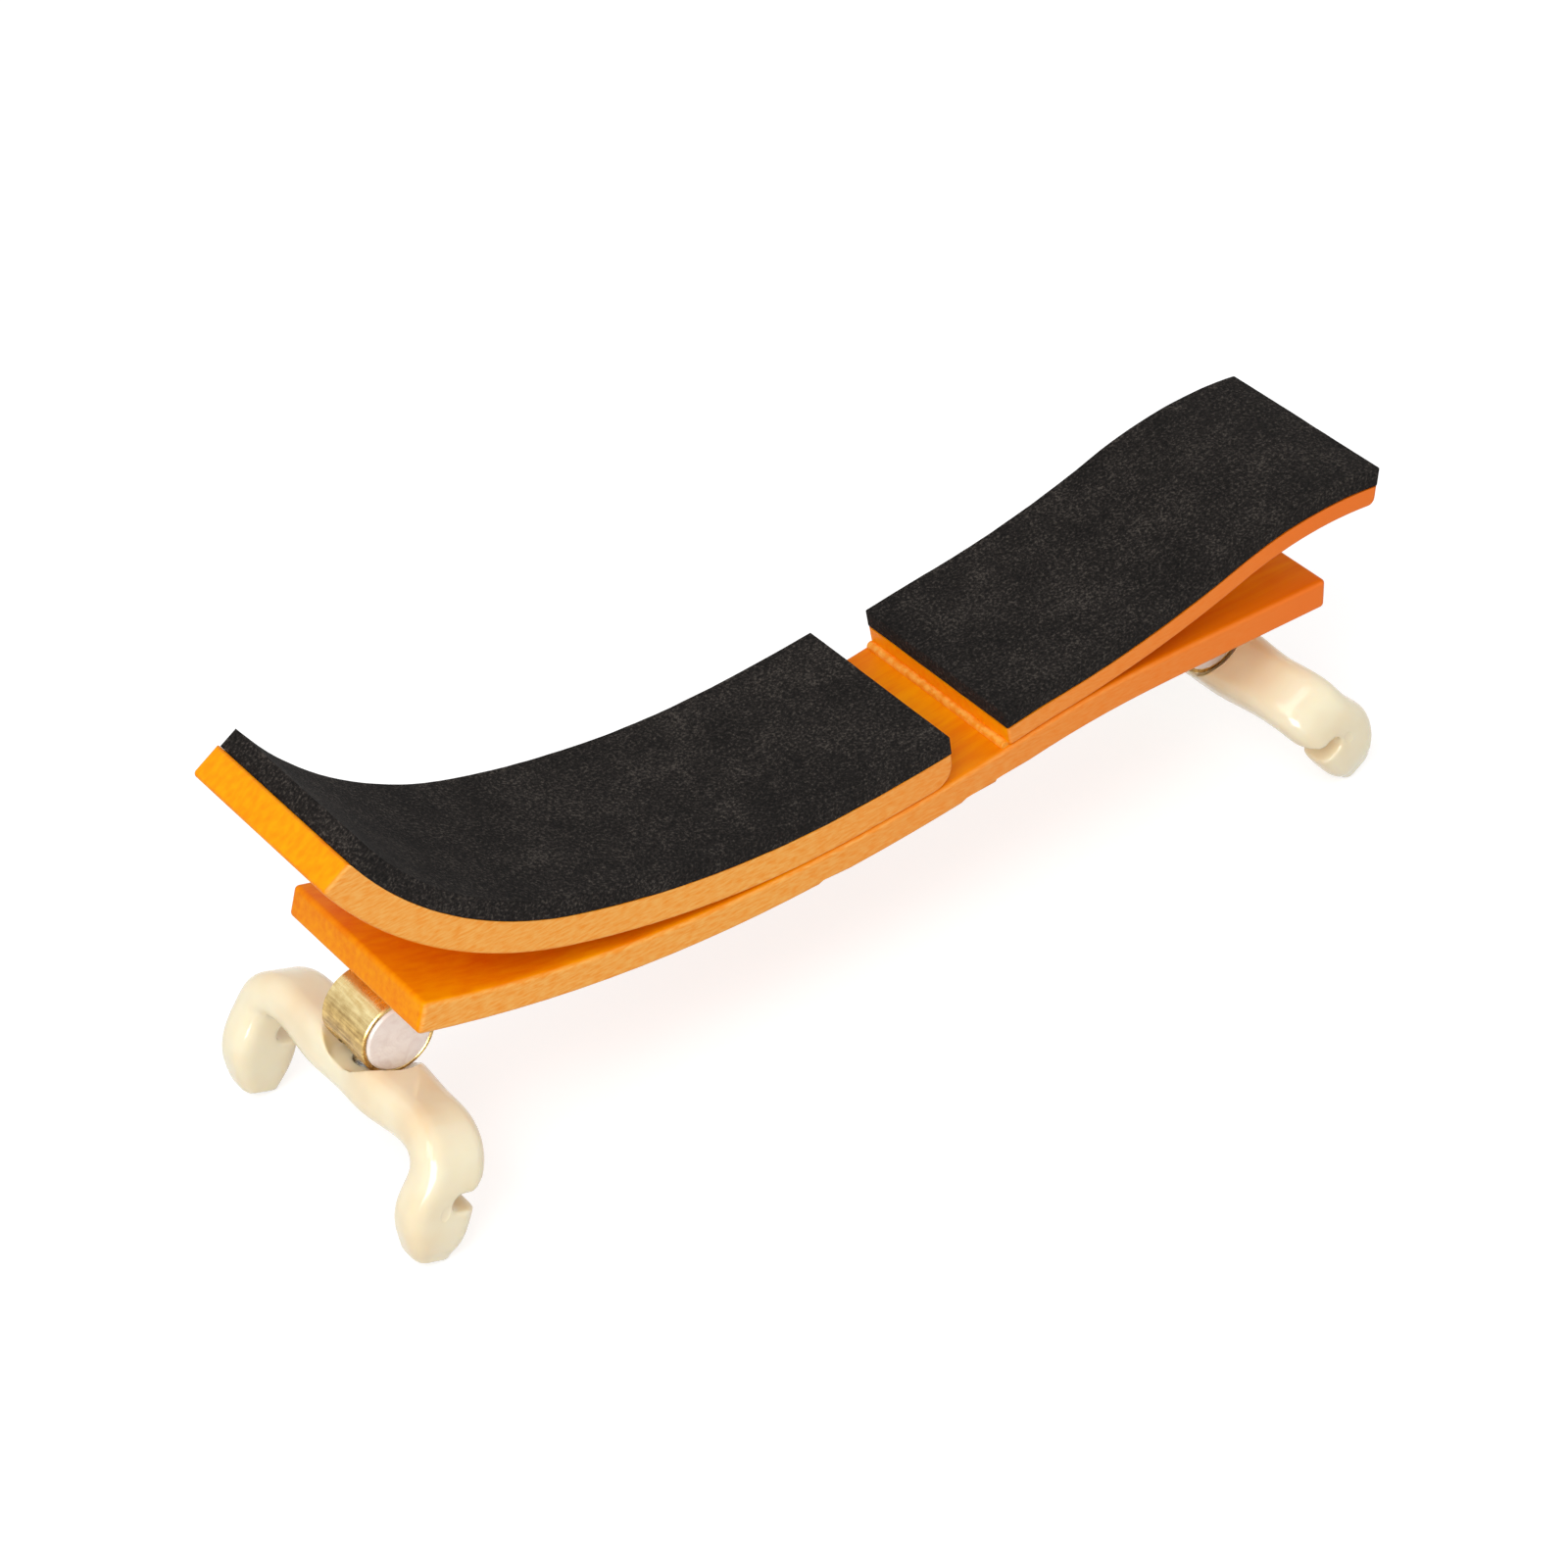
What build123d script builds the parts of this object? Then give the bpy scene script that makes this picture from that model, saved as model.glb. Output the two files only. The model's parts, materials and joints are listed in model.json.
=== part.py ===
from build123d import *
import math
import os

# A violin shoulder rest, standing on its four claws.
# +X runs along the bar from the shoulder end to the chest end, +Z is up from the table,
# and Y = 0 is the middle of the bar. The origin is on the table under the middle of the length.
# All sizes are in millimetres and degrees.

# Wooden bar: its underside is a chain of bends, each a length and the angle it turns through.
WIDTH = 45.0
BAR_THICKNESS = 6.9
BAR_START_HEADING = -17.4
BAR_BENDS = ((85.0, 17.2), (60.0, 8.5), (31.0, -8.7), (16.0, -0.9), (31.0, 0.0))
WOOD_EASE = 1.1

# Shoulder plate: glued to the bar along its inner end, bent up at its outer end.
SHOULDER_THICKNESS = 7.0
SHOULDER_INNER_STATION = 127.1
SHOULDER_SEAT = 26.0
SHOULDER_BENDS = ((65.8, 19.0), (62.3, 41.0), (1.5, 0.0))
SHOULDER_LIP = 1.0
SHOULDER_TOE_RADIUS = 5.0

# Chest plate: thinner, an S bend that lifts off the bar.
CHEST_THICKNESS = 4.5
CHEST_INNER_STATION = 141.0
CHEST_SEAT = 14.0
CHEST_BENDS = ((47.0, 12.3), (36.0, -25.4))
CHEST_TIP_RADIUS = 1.8
PLATE_EDGE_EASE = 0.9

# Foam pads, cut flush with the plates.
PAD_THICKNESS = 4.4

# Brass barrels that carry the legs. The slot lets a leg fold in under the bar and splay outwards.
BARREL_RADIUS = 8.15
BARREL_WALL = 1.0
BARREL_LENGTH = 14.2
BARREL_EDGE = 0.25
NECK_LENGTH = 6.0
NECK_WIDTH = 12.0
SHOULDER_NECK_HEIGHT = 3.1
CHEST_NECK_HEIGHT = 0.8
SHOULDER_BARREL_STATION = 7.7
CHEST_BARREL_STATION = 206.0
FOLD_IN = 85.0
SPLAY_OUT = 40.0

# Countersunk screws that hold each barrel to the bar.
SCREW_RADIUS = 1.1
SCREW_HEAD_RADIUS = 2.0
SCREW_HEAD_RIM = 0.2
SCREW_BITE = 5.0
SCREW_SPACING = 8.6
SCREW_CLEARANCE = 0.05
SCREW_SLOT_WIDTH = 0.5
SCREW_SLOT_DEPTH = 0.4

# Nylon trunnions that turn in the barrels, and the threaded stems they carry.
RUNNING_CLEARANCE = 0.05
TRUNNION_PROUD = 0.4
TRUNNION_EDGE = 0.4
STEM_RADIUS = 3.0
STEM_ABOVE_AXIS = 4.9
STEM_TIP_CHAMFER = 0.5
STEM_SOCKET_DEPTH = 4.2
SLOT_CLEARANCE = 0.3

# How the legs stand: lean of the shoulder leg, and gap left between each hub and its barrel.
SHOULDER_SPLAY = 20.3
SHOULDER_SEAT_GAP = 1.0
CHEST_SEAT_GAP = 0.45

# Moulded fork, in its own frame: Z up the leg from the soles, X towards the violin, Y across.
# Sections along one half, from the hub to the sole of the claw. Each gives the Y and Z of its middle,
# how far the limb has turned down there, its reach outwards and inwards, its thickness and corners.
FORK_SECTIONS = (
    (0.0, 23.5, 0, 7.4, 7.2, 10.2, 3.4),
    (9.0, 23.5, 0, 7.8, 7.2, 10.2, 3.6),
    (20.0, 24.0, 0, 7.3, 6.4, 9.2, 3.8),
    (25.4, 23.9, 18, 7.8, 6.2, 9.0, 3.8),
    (29.4, 21.8, 55, 8.3, 6.0, 8.8, 3.8),
    (30.8, 18.0, 84, 8.3, 5.7, 8.6, 3.4),
    (30.8, 12.5, 90, 8.8, 5.2, 8.6, 3.2),
    (30.8, 7.5, 90, 8.2, 5.0, 8.4, 3.0),
    (30.7, 3.0, 90, 6.6, 3.9, 7.4, 2.6),
    (30.5, 0.0, 90, 4.4, 2.8, 6.0, 1.8),
)
FORK_HALF_SPAN = 36.0
HUB_SEAT = 24.3
HUB_DISH_RADIUS = 11.2
NOTCH_TOP = 16.0
NOTCH_HEIGHT = 4.1
NOTCH_BACK = 1.2
NOTCH_BACK_RADIUS = 1.8
JAW = 2.6
JAW_RADIUS = 1.6
JAW_FLARE = 6.6
LIP = 4.2
LIP_FLARE = 1.2
MOUTH = 9.0
SOLE_EDGE = 0.5

QUARTER_TURN = 90.0
os.makedirs("parts", exist_ok=True)


def direction(heading):
    """Unit vector of a heading, in a drawing's own two axes."""
    return Vector(math.cos(math.radians(heading)), math.sin(math.radians(heading)))


def left_of(heading):
    """Unit vector square to a heading, on its left."""
    return direction(heading + QUARTER_TURN)


def upright(vector):
    """Turn a drawing's two axes into X and Z."""
    return Vector(vector.X, 0, vector.Y)


def station(distance):
    """Point and heading of the bar's underside at a distance from its shoulder end."""
    point = Vector(0, 0)
    heading = BAR_START_HEADING
    for length, turn in BAR_BENDS:
        step = min(distance, length)
        turned = turn * step / length
        half = math.radians(turned / 2)
        chord = step * math.sin(half) / half if half else step
        point += direction(heading + turned / 2) * chord
        heading += turned
        distance -= step
    return point, heading


def on_bar(distance):
    """Point and heading of the bar's top face, square above a station."""
    point, heading = station(distance)
    return point + left_of(heading) * BAR_THICKNESS, heading


def seat_bends(first, last):
    """Bends of the bar's top face between two stations."""
    bends = []
    start = 0
    for length, turn in BAR_BENDS:
        share = (min(last, start + length) - max(first, start)) / length
        if share > 0:
            bends.append((share * (length - math.radians(turn) * BAR_THICKNESS), share * turn))
        start += length
    return tuple(bends)


def plank(start, heading, bends, low, high):
    """Solid of a bent plank between two distances to the left of its path, as wide as the bar."""
    corners = []
    with BuildPart() as solid:
        with BuildSketch(Plane.XZ):
            with BuildLine():
                for lift in (low, high):
                    point = start + left_of(heading) * lift
                    course = heading
                    corners.append(point)
                    for length, turn in bends:
                        if turn:
                            radius = length / math.radians(abs(turn)) - math.copysign(lift, turn * lift)
                            piece = JernArc(point, direction(course), radius, turn)
                        else:
                            piece = Line(point, point + direction(course) * length)
                        course += turn
                        point = piece @ 1
                    corners.append(point)
                Line(corners[0], corners[2])
                Line(corners[1], corners[3])
            make_face()
        extrude(amount=WIDTH / 2, both=True)
    return solid.part


def screw_pair(length, clearance, below):
    """A barrel's two countersunk screws, or holes with a clearance round them and below the heads."""
    head = SCREW_HEAD_RADIUS + clearance
    shank = SCREW_RADIUS + clearance
    neck = SCREW_HEAD_RIM + head - shank
    with BuildPart() as screw:
        with BuildSketch(Plane.XZ):
            with BuildLine():
                Polyline(
                    (0, -below),
                    (head, -below),
                    (head, SCREW_HEAD_RIM),
                    (shank, neck),
                    (shank, length - shank),
                    (0, length),
                    close=True,
                )
            make_face()
        revolve(axis=Axis.Z)
    with BuildPart() as pair:
        with Locations((0, -SCREW_SPACING / 2, 0), (0, SCREW_SPACING / 2, 0)):
            add(screw.part)
    return pair.part


def barrel_part(neck_height, holes):
    """Brass barrel round its own Y axis, with the neck that it is screwed up by above it."""
    with BuildPart() as barrel:
        with BuildSketch(Plane.XZ):
            Circle(BARREL_RADIUS)
        extrude(amount=BARREL_LENGTH / 2, both=True)
        with Locations((0, 0, (BARREL_RADIUS + neck_height) / 2)):
            Box(NECK_LENGTH, NECK_WIDTH, BARREL_RADIUS + neck_height)
        with BuildSketch(Plane.XZ):
            Circle(BARREL_RADIUS - BARREL_WALL)
        extrude(amount=BARREL_LENGTH / 2, both=True, mode=Mode.SUBTRACT)
        rims = barrel.edges().filter_by(GeomType.CIRCLE).group_by(Axis.Y)
        chamfer(rims[0] + rims[-1], BARREL_EDGE)
        # Slot in the underside: a sector that the stem swings through, with round ends.
        with BuildSketch(Plane.XZ):
            with BuildLine():
                first = direction(FOLD_IN - QUARTER_TURN) * 2 * BARREL_RADIUS
                last = direction(-SPLAY_OUT - QUARTER_TURN) * 2 * BARREL_RADIUS
                Line((0, 0), first)
                ThreePointArc(first, (0, -2 * BARREL_RADIUS), last)
                Line(last, (0, 0))
            make_face()
        extrude(amount=STEM_RADIUS + SLOT_CLEARANCE, both=True, mode=Mode.SUBTRACT)
        for angle in (FOLD_IN, -SPLAY_OUT):
            end = upright(direction(angle - QUARTER_TURN))
            with BuildSketch(Plane((0, 0, 0), z_dir=end)):
                Circle(STEM_RADIUS + SLOT_CLEARANCE)
            extrude(amount=2 * BARREL_RADIUS, mode=Mode.SUBTRACT)
        add(holes, mode=Mode.SUBTRACT)
    return barrel.part


def trunnion_part():
    """Nylon trunnion along its own Y axis, with the cross hole that takes the stem along Z."""
    radius = BARREL_RADIUS - BARREL_WALL - RUNNING_CLEARANCE
    with BuildPart() as trunnion:
        with BuildSketch(Plane.XZ):
            Circle(radius)
        extrude(amount=BARREL_LENGTH / 2 + TRUNNION_PROUD, both=True)
        chamfer(trunnion.edges(), TRUNNION_EDGE)
        Cylinder(STEM_RADIUS + RUNNING_CLEARANCE, 3 * radius, mode=Mode.SUBTRACT)
    return trunnion.part


def fork_part():
    """Moulded fork standing on its two soles, with a dished hub and a notch in each claw."""
    with BuildPart() as fork:
        for side, sections in ((-1, FORK_SECTIONS[:0:-1]), (1, FORK_SECTIONS)):
            for y, z, turned, outer, inner, thickness, corner in sections:
                normal = direction(-side * turned)
                with BuildSketch(Plane((0, side * y, z), (1, 0, 0), (0, normal.X, normal.Y))):
                    with Locations(((inner - outer) / 2, 0)):
                        RectangleRounded(outer + inner, thickness, corner)
        loft()
        soles = fork.faces().filter_by(Axis.Z).group_by(Axis.Z)[0]
        chamfer(soles.edges(), SOLE_EDGE)
        # Notches that hold the edge of the violin.
        with BuildSketch(Plane.XZ) as notch:
            with BuildLine():
                Polyline(
                    (MOUTH, NOTCH_TOP + JAW_FLARE),
                    (JAW, NOTCH_TOP),
                    (-NOTCH_BACK, NOTCH_TOP),
                    (-NOTCH_BACK, NOTCH_TOP - NOTCH_HEIGHT),
                    (LIP, NOTCH_TOP - NOTCH_HEIGHT),
                    (MOUTH, NOTCH_TOP - NOTCH_HEIGHT - LIP_FLARE),
                    close=True,
                )
            make_face()
            fillet(notch.vertices().group_by(Axis.X)[0], NOTCH_BACK_RADIUS)
            fillet(notch.vertices().group_by(Axis.X)[1], JAW_RADIUS)
        extrude(amount=FORK_HALF_SPAN, both=True, mode=Mode.SUBTRACT)
        # Dish that clears the barrel as the fork turns, above a flat seat.
        with BuildPart(mode=Mode.PRIVATE) as dish:
            with Locations((0, 0, HUB_SEAT + BARREL_RADIUS + CHEST_SEAT_GAP)):
                Sphere(HUB_DISH_RADIUS)
            split(bisect_by=Plane.XY.offset(HUB_SEAT), keep=Keep.TOP)
        add(dish.part, mode=Mode.SUBTRACT)
        with Locations((0, 0, HUB_SEAT - STEM_SOCKET_DEPTH)):
            Cylinder(
                STEM_RADIUS + RUNNING_CLEARANCE,
                2 * STEM_SOCKET_DEPTH,
                align=(Align.CENTER, Align.CENTER, Align.MIN),
                mode=Mode.SUBTRACT,
            )
    return fork.part


def bare_edges(plate, pad):
    """Edges of a plate that its pad doesn't cover."""
    return [edge for edge in plate.edges() if pad.distance_to(edge @ 0.5) > PLATE_EDGE_EASE]


# The shoulder plate is drawn from its inner end outwards, so it lies to the right of its path.
shoulder_start, shoulder_heading = on_bar(SHOULDER_INNER_STATION)
shoulder_bends = seat_bends(SHOULDER_INNER_STATION - SHOULDER_SEAT, SHOULDER_INNER_STATION) + SHOULDER_BENDS
shoulder_back = shoulder_heading - 2 * QUARTER_TURN
shoulder_course = tuple((length, -turn) for length, turn in shoulder_bends)
shoulder_top = -SHOULDER_THICKNESS
shoulder_pad = plank(shoulder_start, shoulder_back, shoulder_course, shoulder_top - PAD_THICKNESS, shoulder_top)
with BuildPart() as shoulder_plate:
    add(plank(shoulder_start, shoulder_back, (*shoulder_course, (SHOULDER_LIP, 0)), shoulder_top, 0))
    toe = shoulder_plate.edges().sort_by_distance(upright(shoulder_start))[0]
    fillet(toe, SHOULDER_TOE_RADIUS)
    fillet(bare_edges(shoulder_plate, shoulder_pad), PLATE_EDGE_EASE)

# The chest plate follows the bar's top face for the length of its seat, then lifts off it.
chest_path = (
    *on_bar(CHEST_INNER_STATION),
    seat_bends(CHEST_INNER_STATION, CHEST_INNER_STATION + CHEST_SEAT) + CHEST_BENDS,
)
chest_pad = plank(*chest_path, CHEST_THICKNESS, CHEST_THICKNESS + PAD_THICKNESS)
with BuildPart() as chest_plate:
    add(plank(*chest_path, 0, CHEST_THICKNESS))
    tip = chest_plate.edges().filter_by(Axis.Y).sort_by(Axis.X)[-2:].sort_by(Axis.Z)[0]
    fillet(tip, CHEST_TIP_RADIUS)
    fillet(bare_edges(chest_plate, chest_pad), PLATE_EDGE_EASE)

nodes = {
    "shoulder_plate": shoulder_plate.part,
    "chest_plate": chest_plate.part,
    "shoulder_pad": shoulder_pad,
    "chest_pad": chest_pad,
}


def barrel_axis(distance, neck_height):
    """Where a barrel's axis lies, square below a station of the bar."""
    point, heading = station(distance)
    return point - left_of(heading) * (neck_height + BARREL_RADIUS)


# The shoulder leg's lean sets the table's level, and the chest leg leans until its soles meet it.
# Each sole stands on its inner edge.
sole_edge = FORK_SECTIONS[-1][4] - SOLE_EDGE
shoulder_axis = barrel_axis(SHOULDER_BARREL_STATION, SHOULDER_NECK_HEIGHT)
shoulder_reach = HUB_SEAT + BARREL_RADIUS + SHOULDER_SEAT_GAP
lean = math.radians(SHOULDER_SPLAY)
table = shoulder_axis.Y - shoulder_reach * math.cos(lean) - sole_edge * math.sin(lean)
chest_axis = barrel_axis(CHEST_BARREL_STATION, CHEST_NECK_HEIGHT)
chest_reach = HUB_SEAT + BARREL_RADIUS + CHEST_SEAT_GAP
chest_lean = math.acos((chest_axis.Y - table) / math.hypot(chest_reach, sole_edge))
chest_splay = math.degrees(chest_lean + math.atan2(sole_edge, chest_reach))

fork = fork_part()
trunnion = trunnion_part()
pilot_holes = []
for side, inward, distance, neck_height, axis, reach, splay in (
    ("shoulder", 1, SHOULDER_BARREL_STATION, SHOULDER_NECK_HEIGHT, shoulder_axis, shoulder_reach, SHOULDER_SPLAY),
    ("chest", -1, CHEST_BARREL_STATION, CHEST_NECK_HEIGHT, chest_axis, chest_reach, chest_splay),
):
    heading = station(distance)[1]
    barrel_plane = Plane(upright(axis), upright(direction(heading)) * inward, upright(left_of(heading)))
    up_leg = direction(QUARTER_TURN - inward * splay)
    leg_plane = Plane(upright(axis), upright(left_of(QUARTER_TURN - inward * splay)) * -inward, upright(up_leg))
    bore = BARREL_RADIUS - BARREL_WALL
    length = BARREL_WALL + neck_height + SCREW_BITE
    with BuildPart() as screws:
        add(screw_pair(length, 0, 0))
        with Locations((0, -SCREW_SPACING / 2, 0), (0, SCREW_SPACING / 2, 0)):
            Box(2 * SCREW_HEAD_RADIUS, SCREW_SLOT_WIDTH, 2 * SCREW_SLOT_DEPTH, mode=Mode.SUBTRACT)
    holes = screw_pair(length + SCREW_CLEARANCE, SCREW_CLEARANCE, BARREL_WALL).moved(Location((0, 0, bore)))
    with BuildPart() as stem:
        with Locations((0, 0, STEM_ABOVE_AXIS)):
            Cylinder(
                STEM_RADIUS,
                STEM_ABOVE_AXIS + reach - HUB_SEAT + STEM_SOCKET_DEPTH,
                align=(Align.CENTER, Align.CENTER, Align.MAX),
            )
        chamfer(stem.edges().filter_by(GeomType.CIRCLE), STEM_TIP_CHAMFER)
    pilot_holes.append(holes.moved(barrel_plane.location))
    nodes[f"{side}_barrel"] = barrel_part(neck_height, holes).moved(barrel_plane.location)
    nodes[f"{side}_barrel_screws"] = screws.part.moved(barrel_plane.offset(bore).location)
    nodes[f"{side}_trunnion"] = trunnion.moved(leg_plane.location)
    nodes[f"{side}_stem"] = stem.part.moved(leg_plane.location)
    nodes[f"{side}_fork"] = fork.moved(leg_plane.offset(-reach).location)

with BuildPart() as base_bar:
    add(plank(Vector(0, 0), BAR_START_HEADING, BAR_BENDS, 0, BAR_THICKNESS))
    fillet(base_bar.edges(), WOOD_EASE)
    add(pilot_holes, mode=Mode.SUBTRACT)
nodes["base_bar"] = base_bar.part

low = min(part.bounding_box().min.X for part in nodes.values())
high = max(part.bounding_box().max.X for part in nodes.values())
for name, part in nodes.items():
    placed = part.moved(Location((-(low + high) / 2, 0, -table)))
    placed.label = name
    export_step(placed, f"parts/{name}.step")
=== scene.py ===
"""Looks of a violin shoulder rest: varnished wood, foam, brass, nylon and moulded claws."""

import json
import logging
import math
import random
from dataclasses import dataclass, field
from enum import Enum

import bpy
from mathutils import Matrix, Vector


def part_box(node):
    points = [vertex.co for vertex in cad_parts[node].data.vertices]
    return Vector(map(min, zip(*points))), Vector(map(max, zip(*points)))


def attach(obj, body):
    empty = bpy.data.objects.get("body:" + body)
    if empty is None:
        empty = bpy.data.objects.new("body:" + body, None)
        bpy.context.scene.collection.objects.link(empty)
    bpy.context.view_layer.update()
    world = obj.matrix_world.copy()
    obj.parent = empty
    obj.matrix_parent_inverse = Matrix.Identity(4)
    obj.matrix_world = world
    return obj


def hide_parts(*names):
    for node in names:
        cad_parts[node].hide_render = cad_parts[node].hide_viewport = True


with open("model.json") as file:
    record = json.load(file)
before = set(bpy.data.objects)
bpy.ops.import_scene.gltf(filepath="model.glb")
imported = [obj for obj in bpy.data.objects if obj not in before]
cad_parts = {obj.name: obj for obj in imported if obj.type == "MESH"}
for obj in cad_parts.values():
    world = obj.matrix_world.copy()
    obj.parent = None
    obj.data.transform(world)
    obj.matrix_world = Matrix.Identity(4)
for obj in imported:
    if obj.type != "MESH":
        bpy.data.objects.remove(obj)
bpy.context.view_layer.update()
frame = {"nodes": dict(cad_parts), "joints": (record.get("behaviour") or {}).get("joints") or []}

# The classes give sizes in millimetres and angles in degrees, and the studio gives its own in metres,
# apart from the camera's lens and sensor.
MM = 0.001
# Sockets of a Mix node that blends colours: its two colours, and the blend.
FIRST_COLOUR, SECOND_COLOUR, BLEND = 6, 7, 2
log = logging.getLogger("shoulder_rest")


class End(Enum):
    """The two ends of the rest, each with its own plate, pad and leg."""

    SHOULDER = "shoulder"
    CHEST = "chest"


def linear(colour: str) -> tuple:
    """Turn an sRGB hex colour into linear light.

    Args:
        colour: Six hex digits.

    Returns:
        Red, green, blue and alpha for a shader socket.
    """
    values = [int(colour[i : i + 2], 16) / 255 for i in (0, 2, 4)]
    return (*(v / 12.92 if v <= 0.04045 else ((v + 0.055) / 1.055) ** 2.4 for v in values), 1.0)


def add_node(owner: bpy.types.ID, kind: str, inputs: dict, stops: tuple = (), **settings) -> bpy.types.Node:
    """Add a shader node with its settings, input values and links.

    Args:
        owner: Material, or world, whose tree the node goes into.
        kind: Node type, such as ShaderNodeBump.
        inputs: Input names or numbers with a value each, or another node's output to link.
        stops: For a colour ramp, pairs of a position and an sRGB hex colour, in order.
        **settings: Properties of the node.

    Returns:
        The node.
    """
    tree = owner.node_tree
    node = tree.nodes.new(kind)
    for name, value in settings.items():
        setattr(node, name, value)
    for name, value in inputs.items():
        if isinstance(value, bpy.types.NodeSocket):
            tree.links.new(value, node.inputs[name])
        else:
            node.inputs[name].default_value = value
    if stops:
        elements = node.color_ramp.elements
        while len(elements) < len(stops):
            elements.new(0.5)
        for element, (position, colour) in zip(elements, stops):
            element.position = position
            element.color = linear(colour)
    return node


def new_material(name: str) -> bpy.types.Material:
    """Make an empty node material.

    Args:
        name: What the finish is.

    Returns:
        The material, with no nodes in its tree.
    """
    material = bpy.data.materials.new(name)
    material.use_nodes = True
    material.node_tree.nodes.clear()
    return material


def finish_surface(material: bpy.types.Material, inputs: dict) -> bpy.types.Material:
    """Close a material's tree with its surface.

    Args:
        material: The material.
        inputs: Values and links for the surface's shader.

    Returns:
        The finished material.
    """
    shader = add_node(material, "ShaderNodeBsdfPrincipled", inputs)
    add_node(material, "ShaderNodeOutputMaterial", {"Surface": shader.outputs["BSDF"]})
    return material


def in_cells(
    material: bpy.types.Material, cell: tuple, origin: tuple = (0.0, 0.0, 0.0)
) -> bpy.types.NodeSocket:
    """Count the piece's own coordinates in cells of a pattern.

    Args:
        material: The material.
        cell: Size of the pattern along X, Y and Z, in millimetres.
        origin: Point the pattern is centred on, in metres.

    Returns:
        The mapped coordinates.
    """
    place = add_node(material, "ShaderNodeTexCoord", {})
    shifted = add_node(
        material,
        "ShaderNodeVectorMath",
        {0: place.outputs["Object"], 1: origin},
        operation="SUBTRACT",
    )
    scaled = add_node(
        material,
        "ShaderNodeMapping",
        {"Vector": shifted.outputs["Vector"], "Scale": tuple(1 / (size * MM) for size in cell)},
    )
    return scaled.outputs["Vector"]


def lumps(
    material: bpy.types.Material, cell: tuple, detail: float, roughness: float = 0.5, distortion: float = 0.0
) -> bpy.types.NodeSocket:
    """Spread soft random lumps of a real size through the material.

    Args:
        material: The material.
        cell: Size of the lumps along X, Y and Z, in millimetres.
        detail: Octaves of finer lumps on top.
        roughness: How strong those are.
        distortion: How far the lumps are smeared.

    Returns:
        The pattern's output, from 0 to 1.
    """
    node = add_node(
        material,
        "ShaderNodeTexNoise",
        {
            "Vector": in_cells(material, cell),
            "Scale": 1.0,
            "Detail": detail,
            "Roughness": roughness,
            "Distortion": distortion,
        },
    )
    return node.outputs["Fac"]


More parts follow.
